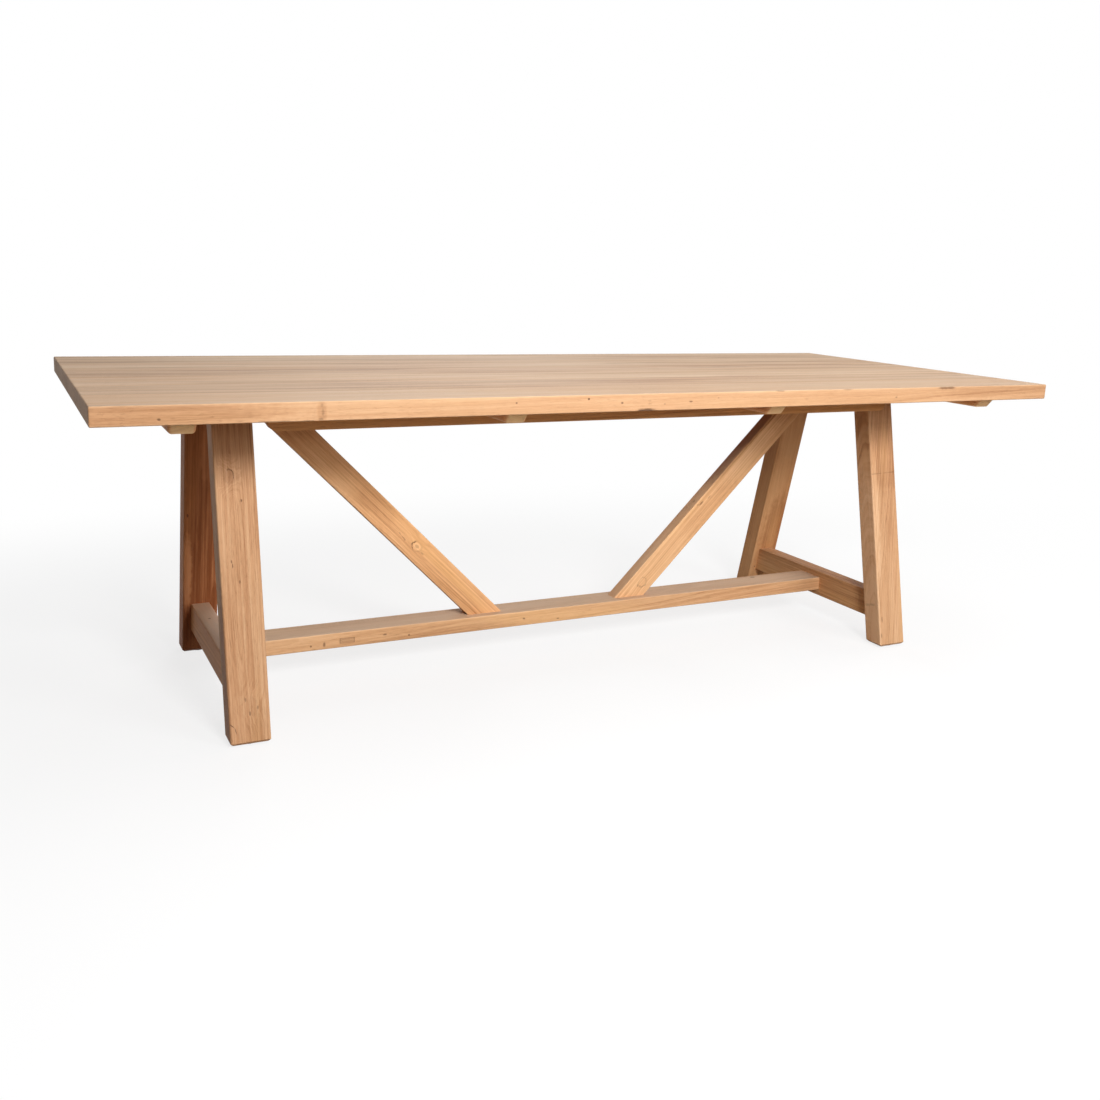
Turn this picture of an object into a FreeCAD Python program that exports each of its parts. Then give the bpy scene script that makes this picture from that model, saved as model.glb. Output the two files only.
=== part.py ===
import FreeCAD, Part
import math
import os

# Trestle garden table in solid teak: a planked top carried by two splayed leg frames,
# tied by a long stretcher and two raking braces.
# Millimetres, +Z up, +X along the table. The origin is on the floor under the table's centre,
# and the front side is -Y.

# Whole table
top_length = 2500.0
top_width = 1000.0
table_height = 780.0

# Top: planks from front to rear, glued edge to edge over hidden loose tongues
plank_thickness = 40.0
plank_width_shares = (0.160, 0.160, 0.155, 0.150, 0.170, 0.130, 0.075)
top_edge_round = 3.0
seam_arris = 0.6
tongue_width = 24.0
tongue_thickness = 10.0
tongue_end_stop = 60.0

# Cross battens under the top, evenly spaced along it
batten_count = 4
batten_length = 910.0
batten_width = 55.0
batten_thickness = 26.0
batten_end_inset = 174.0
batten_corner_round = 9.0
batten_end_setback = 16.0
batten_end_bevel_height = 18.0

# Long rails under the top, notched over the inner battens
rail_place_share = 0.542
rail_thickness = 28.0
rail_depth = 52.0
rail_end_gap = 15.0
rail_end_round = 20.0
rail_screw_shares = (0.2, 0.7)

# Bearers that cap the leg frames and carry the top
bearer_length = 600.0
bearer_thickness = 26.0

# Legs, splayed to front and rear
leg_width = 90.0
leg_depth = 60.0
leg_end_inset = 318.0
leg_splay = 12.15
foot_spread = 703.0
leg_edge_round = 4.0
foot_bevel = 6.0
leg_tenon_length = 50.0
leg_tenon_thickness = 24.0
leg_tenon_depth = 18.0

# Stretchers: one across each leg frame, one along the table between them
stretcher_centre_z = 108.0
stretcher_edge_round = 3.0
end_stretcher_width = 48.0
end_stretcher_height = 76.0
end_tenon_thickness = 18.0
end_tenon_height = 48.0
end_tenon_depth = 28.0
long_stretcher_width = 88.0
long_stretcher_thickness = 40.0
long_tenon_width = 56.0
long_tenon_thickness = 18.0
long_tenon_depth = 28.0

# Braces from the long stretcher up to the top beside the bearers
brace_width = 70.0
brace_thickness = 40.0
brace_foot_x = 228.0
brace_head_inset = 47.0
brace_edge_round = 3.0
brace_tenon_length = 50.0
brace_tenon_thickness = 16.0
brace_foot_tenon_depth = 20.0
brace_head_tenon_depth = 12.0

# Glides pressed into the feet
glide_diameter = 34.0
glide_height = 4.0
glide_pin_diameter = 4.0
glide_pin_length = 16.0

# Countersunk wood screws, driven upwards into the planks, one row along each plank
plank_screw_share = 0.65
screw_length = 50.0
screw_diameter = 5.0
screw_head_diameter = 10.0
screw_head_height = 3.0
screw_tip_length = 6.0
screw_tip_diameter = 1.0
screw_sides = 8

# Clearances, and how far a cutting tool runs past what it cuts
fit_gap = 0.3
screw_gap = 0.15
overrun = 5.0

# Levels and places that follow from the sizes above
top_under_z = table_height - plank_thickness
batten_under_z = top_under_z - batten_thickness
bearer_under_z = top_under_z - bearer_thickness
rail_under_z = top_under_z - rail_depth
tongue_centre_z = table_height - plank_thickness / 2
stretcher_top_z = stretcher_centre_z + long_stretcher_thickness / 2
batten_outer_x = top_length / 2 - batten_end_inset
leg_centre_x = top_length / 2 - leg_end_inset
end_stretcher_inner_x = leg_centre_x - end_stretcher_width / 2
bearer_inner_x = leg_centre_x - leg_width / 2
rail_end_x = bearer_inner_x - rail_end_gap
rail_centre_y = rail_place_share * top_width / 2
splay_tangent = math.tan(math.radians(leg_splay))
leg_depth_level = leg_depth / math.cos(math.radians(leg_splay))
brace_head_x = bearer_inner_x - brace_head_inset

X_AXIS = FreeCAD.Vector(1, 0, 0)
Y_AXIS = FreeCAD.Vector(0, 1, 0)
ORIGIN = FreeCAD.Vector(0, 0, 0)
parallel_tolerance = 1e-6


def block(x_low, x_high, y_low, y_high, z_low, z_high):
    """Upright box between two corners."""
    corner = FreeCAD.Vector(x_low, y_low, z_low)
    return Part.makeBox(x_high - x_low, y_high - y_low, z_high - z_low, corner)


def prism(points, travel):
    """Closed outline pushed along a vector."""
    corners = [FreeCAD.Vector(*point) for point in points]
    outline = Part.makePolygon(corners + corners[:1])
    return Part.Face(outline).extrude(travel)


def ring(radius, height):
    """Level regular outline about the Z axis, with as many corners as a screw has sides."""
    step = math.tau / screw_sides
    turns = [number * step for number in range(screw_sides)]
    corners = [FreeCAD.Vector(radius * math.cos(turn), radius * math.sin(turn), height) for turn in turns]
    return Part.makePolygon(corners + corners[:1])


def faceted(profile):
    """Flat-sided solid through rings of (radius, height): few faces on what repeats many times."""
    return Part.makeLoft([ring(radius, height) for radius, height in profile], True, True)


def run_of(edge):
    """Vector from an edge's first end to its last."""
    return edge.lastVertex().Point.sub(edge.firstVertex().Point)


def edges_along(shape, direction):
    """Straight edges parallel to a direction."""
    unit = FreeCAD.Vector(direction).normalize()
    straight = [edge for edge in shape.Edges if isinstance(edge.Curve, Part.Line)]
    return [edge for edge in straight
            if run_of(edge).cross(unit).Length < parallel_tolerance * edge.Length]


def moved(shape, x, y, z):
    """Copy of a shape at another place."""
    return shape.translated(FreeCAD.Vector(x, y, z))


def flipped(shape, axis):
    """Mirror image of a shape through the table's centre."""
    return shape.mirror(ORIGIN, axis)


def joined(body, pieces):
    """Body with its tenons, as one solid."""
    return body.fuse(pieces).removeSplitter()


# Places across the top

def plank_edges():
    """Front and rear edges of the planks, from front to rear."""
    whole = sum(plank_width_shares)
    edges = [-top_width / 2]
    for share in plank_width_shares:
        edges.append(edges[-1] + top_width * share / whole)
    return edges


def screw_rows(reach):
    """Screw lines, one along each plank, that lie within a distance of the table's middle line."""
    edges = plank_edges()
    rows = [front + plank_screw_share * (rear - front) for front, rear in zip(edges, edges[1:])]
    return [row for row in rows if abs(row) < reach]


def batten_centres():
    """Places of the battens along the table, from left to right."""
    pitch = (batten_outer_x + batten_outer_x) / (batten_count - 1)
    return [-batten_outer_x + number * pitch for number in range(batten_count)]


def both_sides(places):
    """Each place and its mirror image."""
    return [side * place for place in places for side in (-1, 1)]


def batten_screw_places():
    """Screw places (x, y, seat height) through the battens."""
    rows = screw_rows(batten_length / 2 - batten_width / 2)
    return [(x, y, batten_under_z) for x in batten_centres() for y in rows]


def rail_screw_places():
    """Screw places up through the rails, gripping as much wood as on a batten."""
    along = both_sides([share * rail_end_x for share in rail_screw_shares])
    return [(x, y, batten_under_z) for y in both_sides([rail_centre_y]) for x in along]


def bearer_screw_places():
    """Screw places up through the bearers."""
    rows = screw_rows(bearer_length / 2 - leg_width / 2)
    return [(x, y, bearer_under_z) for x in both_sides([leg_centre_x]) for y in rows]


# Screws

def screw():
    """Countersunk screw, its head at the origin and its tip upwards."""
    return faceted([
        (screw_head_diameter / 2, 0),
        (screw_diameter / 2, screw_head_height),
        (screw_diameter / 2, screw_length - screw_tip_length),
        (screw_tip_diameter / 2, screw_length),
    ])


def screw_hole(entry):
    """Countersunk hole for a screw, with an entry bore below the head."""
    return faceted([
        (screw_head_diameter / 2 + screw_gap, -entry),
        (screw_head_diameter / 2 + screw_gap, 0),
        (screw_diameter / 2 + screw_gap, screw_head_height),
        (screw_diameter / 2 + screw_gap, screw_length + screw_gap),
    ])


def screw_group(places):
    """Separate screws at their places."""
    pattern = screw()
    return Part.makeCompound([moved(pattern, *place) for place in places])


def screw_holes(places, entry=overrun):
    """Holes for screws at their places."""
    pattern = screw_hole(entry)
    return [moved(pattern, *place) for place in places]


# Joints: each gives the tenon, or with a gap the mortise that takes it

def tongue(seam, gap=0):
    """Loose tongue across a seam, stopped short of the table's ends."""
    half_length = top_length / 2 - tongue_end_stop + gap
    half_width = tongue_width / 2 + gap
    half_thickness = tongue_thickness / 2 + gap
    return block(-half_length, half_length, seam - half_width, seam + half_width,
                 tongue_centre_z - half_thickness, tongue_centre_z + half_thickness)


def leg_outer_y(z):
    """Outer face of a rear leg at a height."""
    return foot_spread / 2 - z * splay_tangent


def leg_inner_y(z):
    """Inner face of a rear leg at a height."""
    return leg_outer_y(z) - leg_depth_level


def leg_tenon(gap=0):
    """Stub tenon on the right rear leg, upright into the bearer."""
    centre_y = leg_outer_y(bearer_under_z) - leg_depth_level / 2
    half_length = leg_tenon_length / 2 + gap
    half_thickness = leg_tenon_thickness / 2 + gap
    return block(leg_centre_x - half_length, leg_centre_x + half_length,
                 centre_y - half_thickness, centre_y + half_thickness,
                 bearer_under_z - gap, bearer_under_z + leg_tenon_depth + gap)


def end_tenon(gap=0):
    """Bar that makes both tenons of the right end stretcher."""
    reach = leg_inner_y(stretcher_centre_z) + end_tenon_depth + gap
    half_thickness = end_tenon_thickness / 2 + gap
    half_height = end_tenon_height / 2 + gap
    return block(leg_centre_x - half_thickness, leg_centre_x + half_thickness, -reach, reach,
                 stretcher_centre_z - half_height, stretcher_centre_z + half_height)


def long_tenon(gap=0):
    """Bar that makes both tenons of the long stretcher."""
    reach = end_stretcher_inner_x + long_tenon_depth + gap
    half_width = long_tenon_width / 2 + gap
    half_thickness = long_tenon_thickness / 2 + gap
    return block(-reach, reach, -half_width, half_width,
                 stretcher_centre_z - half_thickness, stretcher_centre_z + half_thickness)


def brace_tenon(centre_x, z_low, z_high, gap):
    """Upright stub tenon of the right brace."""
    half_length = brace_tenon_length / 2 + gap
    half_thickness = brace_tenon_thickness / 2 + gap
    return block(centre_x - half_length, centre_x + half_length, -half_thickness, half_thickness,
                 z_low - gap, z_high + gap)


def brace_foot_tenon(gap=0):
    """Tenon from the brace's foot down into the long stretcher."""
    return brace_tenon(brace_foot_x, stretcher_top_z - brace_foot_tenon_depth, stretcher_top_z, gap)


def brace_head_tenon(gap=0):
    """Tenon from the brace's head up into the top."""
    return brace_tenon(brace_head_x, top_under_z, top_under_z + brace_head_tenon_depth, gap)


# Pieces of the top

def outline_edges(body):
    """Edges of a plank that lie on the outline of the whole top."""
    chosen = []
    for edge in body.Edges:
        middle = edge.CenterOfMass
        at_end = math.isclose(abs(middle.x), top_length / 2)
        at_side = math.isclose(abs(middle.y), top_width / 2)
        upright = abs(run_of(edge).z) > 0
        if (at_end and at_side) or (not upright and (at_end or at_side)):
            chosen.append(edge)
    return chosen


def seam_groove(seam):
    """Fine V along a seam, from the eased arrises of two planks."""
    half_length = top_length / 2 + overrun
    half_mouth = seam_arris + overrun
    return prism([
        (-half_length, seam - half_mouth, table_height + overrun),
        (-half_length, seam, table_height - seam_arris),
        (-half_length, seam + half_mouth, table_height + overrun),
    ], X_AXIS * (half_length + half_length))


def plank(front, rear, seams, screw_places):
    """One plank of the top, grooved for its tongues and bored for its screws."""
    body = block(-top_length / 2, top_length / 2, front, rear, top_under_z, table_height)
    body = body.makeFillet(top_edge_round, outline_edges(body))
    tools = [tongue(seam, fit_gap) for seam in seams]
    tools += [seam_groove(seam) for seam in seams]
    tools += screw_holes([place for place in screw_places if front < place[1] < rear])
    if front < 0 < rear:
        mortise = brace_head_tenon(fit_gap)
        tools += [mortise, flipped(mortise, X_AXIS)]
    return body.cut(tools)


def batten(centre_x):
    """Cross batten with bevelled ends and rounded lower corners."""
    half_length = batten_length / 2
    low_half_length = half_length - batten_end_setback
    left_x = centre_x - batten_width / 2
    bevel_z = batten_under_z + batten_end_bevel_height
    body = prism([
        (left_x, -half_length, top_under_z),
        (left_x, -half_length, bevel_z),
        (left_x, -low_half_length, batten_under_z),
        (left_x, low_half_length, batten_under_z),
        (left_x, half_length, bevel_z),
        (left_x, half_length, top_under_z),
    ], X_AXIS * batten_width)
    bevel = FreeCAD.Vector(0, batten_end_setback, batten_end_bevel_height)
    lower = [edge for edge in edges_along(body, Y_AXIS) if edge.CenterOfMass.z < bevel_z]
    sloping = edges_along(body, bevel) + edges_along(body, FreeCAD.Vector(0, -bevel.y, bevel.z))
    body = body.makeFillet(batten_corner_round, lower + sloping)
    return body.cut(screw_holes([place for place in batten_screw_places() if place[0] == centre_x]))


def rear_rail():
    """Long rail that stops short of the bearers, its lower ends rounded, notched over the inner battens."""
    body = block(-rail_end_x, rail_end_x,
                 rail_centre_y - rail_thickness / 2, rail_centre_y + rail_thickness / 2,
                 rail_under_z, top_under_z)
    lower_ends = [edge for edge in edges_along(body, Y_AXIS) if edge.CenterOfMass.z < batten_under_z]
    body = body.makeFillet(rail_end_round, lower_ends)
    half_notch = batten_width / 2 + fit_gap
    notches = [block(x - half_notch, x + half_notch, 0, top_width, batten_under_z, top_under_z + overrun)
               for x in batten_centres() if abs(x) < rail_end_x]
    bores = screw_holes([place for place in rail_screw_places() if place[1] > 0],
                        rail_depth - batten_thickness + overrun)
    return body.cut(notches + bores)


def right_bearer():
    """Flat bearer across the leg tops, mortised for the legs and bored for its screws."""
    body = block(bearer_inner_x, bearer_inner_x + leg_width, -bearer_length / 2, bearer_length / 2,
                 bearer_under_z, top_under_z)
    mortise = leg_tenon(fit_gap)
    bores = screw_holes([place for place in bearer_screw_places() if place[0] > 0])
    return body.cut([mortise, flipped(mortise, Y_AXIS)] + bores)


# Pieces of the leg frames

def foot_bevels(left_x, right_x):
    """Wedges that ease the four lower edges of the right rear foot."""
    outer = leg_outer_y(glide_height)
    inner = leg_inner_y(glide_height)
    width = X_AXIS * (right_x - left_x)
    depth = Y_AXIS * (outer - inner + foot_bevel)
    high = glide_height + foot_bevel
    return [
        prism([(left_x, outer - foot_bevel, glide_height), (left_x, outer + foot_bevel, glide_height),
               (left_x, outer + foot_bevel, high), (left_x, leg_outer_y(high), high)], width),
        prism([(left_x, inner + foot_bevel, glide_height), (left_x, inner - foot_bevel, glide_height),
               (left_x, inner - foot_bevel, high), (left_x, leg_inner_y(high), high)], width),
        prism([(left_x, inner - foot_bevel, glide_height), (left_x + foot_bevel, inner - foot_bevel,
               glide_height), (left_x, inner - foot_bevel, high)], depth),
        prism([(right_x, inner - foot_bevel, glide_height), (right_x - foot_bevel, inner - foot_bevel,
               glide_height), (right_x, inner - foot_bevel, high)], depth),
    ]


def glide_centre():
    """Middle of the right rear foot, on the floor."""
    return FreeCAD.Vector(leg_centre_x, leg_outer_y(glide_height) - leg_depth_level / 2, 0)


def right_rear_leg():
    """Splayed leg, level at foot and head, with its tenon, its mortise and the glide's hole."""
    left_x = leg_centre_x - leg_width / 2
    right_x = leg_centre_x + leg_width / 2
    body = prism([
        (left_x, leg_outer_y(glide_height), glide_height),
        (left_x, leg_inner_y(glide_height), glide_height),
        (left_x, leg_inner_y(bearer_under_z), bearer_under_z),
        (left_x, leg_outer_y(bearer_under_z), bearer_under_z),
    ], X_AXIS * leg_width)
    body = body.makeFillet(leg_edge_round, edges_along(body, FreeCAD.Vector(0, -splay_tangent, 1)))
    body = body.cut(foot_bevels(left_x, right_x))
    body = joined(body, [leg_tenon()])
    hole = Part.makeCylinder(glide_pin_diameter / 2 + screw_gap,
                             glide_height + glide_pin_length + screw_gap, glide_centre())
    return body.cut([end_tenon(fit_gap), hole])


def right_rear_glide():
    """Nail-on glide: a low pad with a pin that goes up into the foot."""
    pad = Part.makeCylinder(glide_diameter / 2, glide_height, glide_centre())
    pin = Part.makeCylinder(glide_pin_diameter / 2, glide_height + glide_pin_length, glide_centre())
    return joined(pad, [pin])


def right_end_stretcher():
    """Cross stretcher whose shoulders follow the splayed legs, tenoned into both of them."""
    low_z = stretcher_centre_z - end_stretcher_height / 2
    high_z = stretcher_centre_z + end_stretcher_height / 2
    body = prism([
        (end_stretcher_inner_x, -leg_inner_y(low_z), low_z),
        (end_stretcher_inner_x, leg_inner_y(low_z), low_z),
        (end_stretcher_inner_x, leg_inner_y(high_z), high_z),
        (end_stretcher_inner_x, -leg_inner_y(high_z), high_z),
    ], X_AXIS * end_stretcher_width)
    body = body.makeFillet(stretcher_edge_round, edges_along(body, Y_AXIS))
    body = joined(body, [end_tenon()])
    return body.cut(long_tenon(fit_gap))


def long_stretcher():
    """Flat stretcher along the table, tenoned at its ends and mortised for the braces."""
    half_length = end_stretcher_inner_x
    body = block(-half_length, half_length, -long_stretcher_width / 2, long_stretcher_width / 2,
                 stretcher_centre_z - long_stretcher_thickness / 2, stretcher_top_z)
    body = body.makeFillet(stretcher_edge_round, edges_along(body, X_AXIS))
    body = joined(body, [long_tenon()])
    mortise = brace_foot_tenon(fit_gap)
    return body.cut([mortise, flipped(mortise, X_AXIS)])


def right_brace():
    """Raking brace, cut level at foot and head and fitted round the bearer, with two tenons."""
    foot = FreeCAD.Vector(brace_foot_x, -brace_thickness / 2, stretcher_top_z)
    head = FreeCAD.Vector(brace_head_x, -brace_thickness / 2, top_under_z)
    rise = (head - foot).normalize()
    across = rise.cross(Y_AXIS) * (brace_width / 2)
    start = foot - rise * brace_width
    end = head + rise * brace_width
    body = prism([start - across, end - across, end + across, start + across],
                 Y_AXIS * brace_thickness)
    body = body.makeFillet(brace_edge_round, edges_along(body, rise))
    reach = top_length / 2
    half_width = top_width / 2
    body = body.cut([
        block(-reach, reach, -half_width, half_width, -table_height, stretcher_top_z),
        block(-reach, reach, -half_width, half_width, top_under_z, table_height + table_height),
        block(bearer_inner_x, reach, -half_width, half_width, bearer_under_z, top_under_z),
    ])
    return joined(body, [brace_foot_tenon(), brace_head_tenon()])


def all_nodes():
    """Every piece of the table by the name of its node."""
    nodes = {}
    edges = plank_edges()
    screw_places = batten_screw_places() + rail_screw_places() + bearer_screw_places()
    for number, (front, rear) in enumerate(zip(edges, edges[1:]), start=1):
        seams = [seam for seam in (front, rear) if seam in edges[1:-1]]
        nodes[f"plank_{number}"] = plank(front, rear, seams, screw_places)
    for number, seam in enumerate(edges[1:-1], start=1):
        nodes[f"tongue_{number}"] = tongue(seam)
    for number, centre_x in enumerate(batten_centres(), start=1):
        nodes[f"batten_{number}"] = batten(centre_x)
    rail = rear_rail()
    nodes["rail_rear"] = rail
    nodes["rail_front"] = flipped(rail, Y_AXIS)
    pairs = {
        "bearer": right_bearer(),
        "end_stretcher": right_end_stretcher(),
        "brace": right_brace(),
    }
    for name, piece in pairs.items():
        nodes[f"{name}_right"] = piece
        nodes[f"{name}_left"] = flipped(piece, X_AXIS)
    for name, piece in {"leg": right_rear_leg(), "glide": right_rear_glide()}.items():
        front_piece = flipped(piece, Y_AXIS)
        nodes[f"{name}_right_rear"] = piece
        nodes[f"{name}_right_front"] = front_piece
        nodes[f"{name}_left_rear"] = flipped(piece, X_AXIS)
        nodes[f"{name}_left_front"] = flipped(front_piece, X_AXIS)
    nodes["long_stretcher"] = long_stretcher()
    nodes["batten_screws"] = screw_group(batten_screw_places())
    nodes["rail_screws"] = screw_group(rail_screw_places())
    nodes["bearer_screws"] = screw_group(bearer_screw_places())
    return nodes


os.makedirs("parts", exist_ok=True)
for node, shape in all_nodes().items():
    shape.exportStep(f"parts/{node}.step")
    print(node, "solids", len(shape.Solids), "valid", shape.isValid(), "volume", round(shape.Volume))
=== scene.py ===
import math
import random

import bmesh
import bpy
import numpy as np
from mathutils import Matrix, Vector

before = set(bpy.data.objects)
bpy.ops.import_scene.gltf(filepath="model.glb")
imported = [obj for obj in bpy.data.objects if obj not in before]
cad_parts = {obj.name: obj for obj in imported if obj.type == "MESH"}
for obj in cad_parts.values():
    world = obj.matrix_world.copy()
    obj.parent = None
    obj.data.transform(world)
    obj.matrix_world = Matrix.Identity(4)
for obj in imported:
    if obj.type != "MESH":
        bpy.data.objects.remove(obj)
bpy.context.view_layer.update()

# Garden table in teak. All lengths are metres in the table's own frame:
# X along the table, Y from the front to the rear, Z up.

X_AXIS = Vector((1, 0, 0))
Y_AXIS = Vector((0, 1, 0))

# Camera, fitted to the edges of the table in the photo. Its angles are radians.
camera_place = Vector((-1.4167, -2.6432, 1.0658))
camera_yaw = 0.4532
camera_pitch = -0.2042
camera_roll = 0.0352
picture_size = 1100
picture_middle = 0.5
focal_pixels = 1109.064
axis_pixel_x = 518.55
axis_pixel_y = 490.81
sensor_width = 36.0

# Angles of the slanted boards.
leg_splay = math.radians(12.15)
brace_rake = math.radians(45)

# Tones, as they look on a screen.
full_tone = 255
teak_deep = (148, 100, 64)
teak_mid = (203, 157, 117)
teak_pale = (231, 191, 151)
teak_red = (190, 128, 88)
teak_gold = (222, 176, 122)
# Grey of weathered faces that look up, which also stands in for a painted sheen on them.
teak_grey_and_sheen = (200, 183, 163)
knot_brown = (134, 84, 54)
mark_dark = (66, 42, 30)
plastic_black = (16, 16, 16)
plastic_worn = (34, 33, 32)
steel_bright = (176, 177, 180)
steel_dull = (128, 128, 130)
floor_tone = (150, 136, 120)
floor_seen_tone = (250, 250, 250)
pure_white = (1, 1, 1, 1)


# The sRGB curve: a straight piece for dark tones, and a power above it.
curve_dark_limit = 0.04045
curve_dark_slope = 12.92
curve_offset = 0.055
curve_power = 2.4


def linear_share(share):
    """Linear light of one part of a screen tone, both from 0 to 1."""
    if share <= curve_dark_limit:
        return share / curve_dark_slope
    return ((share + curve_offset) / (1 + curve_offset)) ** curve_power


def linear(tone):
    """Screen tone as the linear colour that a shader takes."""
    return [linear_share(c / full_tone) for c in tone] + [1.0]


# Blender's noise swings about this value.
noise_middle = 0.5


class Nodes:
    """Short calls for building one node tree."""

    def __init__(self, tree):
        self.tree = tree
        tree.nodes.clear()

    def add(self, kind, inputs, **settings):
        """A new node. An input is a constant or the output of another node."""
        node = self.tree.nodes.new(kind)
        for name, value in settings.items():
            setattr(node, name, value)
        for name, value in inputs.items():
            self.feed(node.inputs[name], value)
        return node

    def feed(self, socket, value):
        """Links an output to a socket, or sets a constant on it."""
        if isinstance(value, bpy.types.NodeSocket):
            self.tree.links.new(value, socket)
        else:
            socket.default_value = value

    def math(self, operation, first, second=0.0, third=0.0):
        """Result of an operation on one to three values."""
        return self.add("ShaderNodeMath", {0: first, 1: second, 2: third}, operation=operation).outputs[0]

    def scaled_sum(self, value, factor, base):
        """The value times a factor, added to the base."""
        return self.math("MULTIPLY_ADD", value, factor, base)

    def weighted_sum(self, terms, base):
        """The base with every value added to it, each times its factor."""
        for value, factor in terms:
            base = self.scaled_sum(value, factor, base)
        return base

    def largest(self, values):
        """The largest of some values."""
        total = values[0]
        for value in values[1:]:
            total = self.math("MAXIMUM", value, total)
        return total

    def vector(self, operation, first, second=(0, 0, 0)):
        """Result of an operation on one or two vectors: a vector, or a single value."""
        node = self.add("ShaderNodeVectorMath", {0: first, 1: second}, operation=operation)
        scalar = operation in ("LENGTH", "DOT_PRODUCT")
        return node.outputs["Value" if scalar else "Vector"]

    def parts(self, vector):
        """The three values of a vector."""
        return self.add("ShaderNodeSeparateXYZ", {0: vector}).outputs[:]

    def point(self):
        """The shaded point in the object's own frame."""
        return self.add("ShaderNodeTexCoord", {}).outputs["Object"]

    def noise(self, vector, stretch, layers, strength):
        """Noise from 0 to 1, with stretch the number of spots in a metre along each axis."""
        scaled = self.vector("MULTIPLY", vector, stretch)
        inputs = {"Vector": scaled, "Scale": 1.0, "Detail": layers, "Roughness": strength}
        return self.add("ShaderNodeTexNoise", inputs).outputs[0]

    def swing(self, vector, stretch, layers, strength):
        """The same noise, about zero."""
        return self.math("SUBTRACT", self.noise(vector, stretch, layers, strength), noise_middle)

    def line_noise(self, value, layers, strength):
        """Noise from 0 to 1 along a single value."""
        inputs = {"W": value, "Scale": 1.0, "Detail": layers, "Roughness": strength}
        return self.add("ShaderNodeTexNoise", inputs, noise_dimensions="1D").outputs[0]

    def smooth(self, value, low, high, start=0.0, end=1.0):
        """Goes from start to end while the value goes from low to high."""
        inputs = {"Value": value, "From Min": low, "From Max": high, "To Min": start, "To Max": end}
        return self.add("ShaderNodeMapRange", inputs, interpolation_type="SMOOTHSTEP").outputs[0]

    def mix(self, share, first, second):
        """Colour between two others. The colour sockets of this node are 6 and 7, out at 2."""
        node = self.add("ShaderNodeMix", {0: share, 6: first, 7: second}, data_type="RGBA")
        return node.outputs[2]

    def ramp(self, value, stops):
        """Colour that runs from stop to stop with the value."""
        node = self.add("ShaderNodeValToRGB", {0: value})
        elements = node.color_ramp.elements
        for place, _ in stops[1:-1]:
            elements.new(place)
        for element, (place, colour) in zip(elements, stops):
            element.position = place
            element.color = colour
        return node.outputs[0]


def new_material(name):
    """An empty material and its nodes."""
    material = bpy.data.materials.new(name)
    material.use_nodes = True
    return material, Nodes(material.node_tree)


def finish_material(nodes, colour, roughness, height, depth, **constants):
    """Principled shader with a bump of the given depth, and the output."""
    bump = nodes.add("ShaderNodeBump", {"Strength": 1.0, "Distance": depth, "Height": height})
    inputs = {"Base Color": colour, "Roughness": roughness, "Normal": bump.outputs[0]}
    shader = nodes.add("ShaderNodeBsdfPrincipled", {**inputs, **constants})
    nodes.add("ShaderNodeOutputMaterial", {"Surface": shader.outputs[0]})


# How deep a mark reaches into the board.
mark_depth = 0.012


class Board:
    """A board's own axes (along the grain, across and through), centre and half sizes, from its mesh."""

    def __init__(self, node, along, across):
        self.node = node
        self.axes = [along, across, along.cross(across)]
        points = np.array([v.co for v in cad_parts[node].data.vertices])
        spans = [points @ np.array(axis) for axis in self.axes]
        self.half = [(s.max() - s.min()) / 2 for s in spans]
        middles = [(s.max() + s.min()) / 2 for s in spans]
        self.centre = sum((a * m for a, m in zip(self.axes, middles)), Vector())
        self.turn = Matrix(self.axes).transposed().to_euler()

    def place(self, point):
        """A point of the table's frame in the board's axes."""
        offset = Vector(point) - self.centre
        return Vector([offset.dot(axis) for axis in self.axes])

    def turned(self, direction):
        """A direction of the table's frame in the board's axes."""
        unit = Vector(direction).normalized()
        return Vector([unit.dot(axis) for axis in self.axes])

    def mark_radii(self, point, long, wide):
        """Radii of a mark that lies on the face nearest to its place, long along the grain."""
        side, deep = [abs(p) / h for p, h in zip(self.place(point)[1:], self.half[1:])]
        return (long, mark_depth, wide) if side > deep else (long, wide, mark_depth)


# What a board looks like where nothing else is said: tone from 0 dark to 1 pale, tint, width of a
# ring, strength of rings, streaks, clouds, red flush, gold glow, greying together with a painted sheen
# on faces that look up, rubbed edges, strength and tone of its ends (on some boards painted light),
# gloss and roughness, and the marks and tones on it (some of these tones are painted light and painted
# shade). A look can also say where the pith lies and how it leans, and give the ends a gloss of their
# own.
plain_look = {
    "tone": 0.5,
    "tint": (1.0, 1.0, 1.0),
    "ring_gap": 0.007,
    "ring_share": 0.45,
    "streak_share": 0.6,
    "cloud_share": 0.55,
    "red_share": 0.3,
    "gold_share": 0.3,
    "grey_and_sheen_share": 0.55,
    "wear_share": 0.25,
    "end_share": 0.3,
    "end_grain_and_painted_light_tone": teak_deep,
    "gloss": 0.12,
    "rough": 0.56,
    "knots": (),
    "dots": (),
    "cracks": (),
    "patches": (),
    "tones_and_painted_light": (),
}

# What a knot looks like where nothing else is said: how many rings it pushes aside, and the strength
# of its outline, middle and whole.
plain_knot = {"rings": 2.0, "rim": 0.5, "heart": 0.3, "core": 0.2}

# Fields of noise in the wood: spots in a metre along, across and through the board, the number of
# finer layers, and their strength. Each board starts in another place, up to seed_reach away.
bend_field = ((60, 90, 90), 2.0, 0.5)
quick_field = ((9, 60, 60), 2.0, 0.5)
slow_field = ((1.1, 7, 7), 2.0, 0.5)
streak_field = ((2.6, 170, 170), 4.0, 0.7)
fibre_field = ((28, 1300, 1300), 2.0, 0.5)
cloud_field = ((1.4, 16, 16), 2.0, 0.5)
pore_field = ((55, 2300, 2300), 1.0, 0.5)
flush_field = ((0.8, 9, 9), 2.0, 0.5)
glow_field = ((1.9, 17, 17), 1.0, 0.5)
break_field = ((90, 140, 140), 1.0, 0.5)
seed_reach = 9.0

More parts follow.
